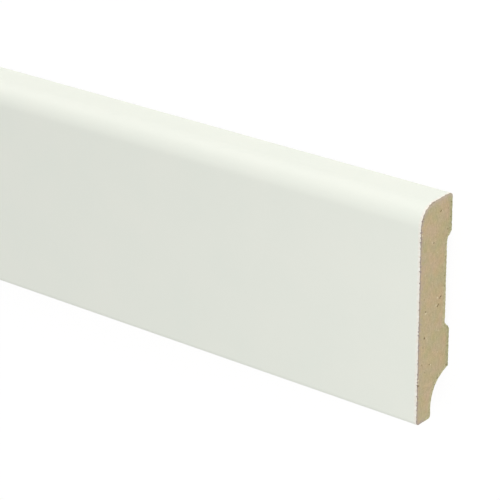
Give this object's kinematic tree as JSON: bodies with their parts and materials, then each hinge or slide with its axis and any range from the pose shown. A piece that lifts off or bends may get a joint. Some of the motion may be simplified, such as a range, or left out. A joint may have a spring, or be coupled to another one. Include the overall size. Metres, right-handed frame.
{
  "type": "skirting board length",
  "caption": "Length of skirting board with a flat white face, a rounded head, a shallow relief down its back and a hollow cable cove behind its foot, sawn square at both ends.",
  "frame": {"origin": "middle of the length and of the height, in the plane of the two lands that lie on the floor", "axes": "+X along the length, +Y from the foot to the rounded head, +Z from the wall side out to the white face"},
  "size_m": [2.4, 0.0698, 0.015],
  "materials": {
    "mdf": "matte",
    "white_foil": "satin"
  },
  "bodies": {
    "root": {"skirting_board": "mdf"}
  },
  "joints": []
}
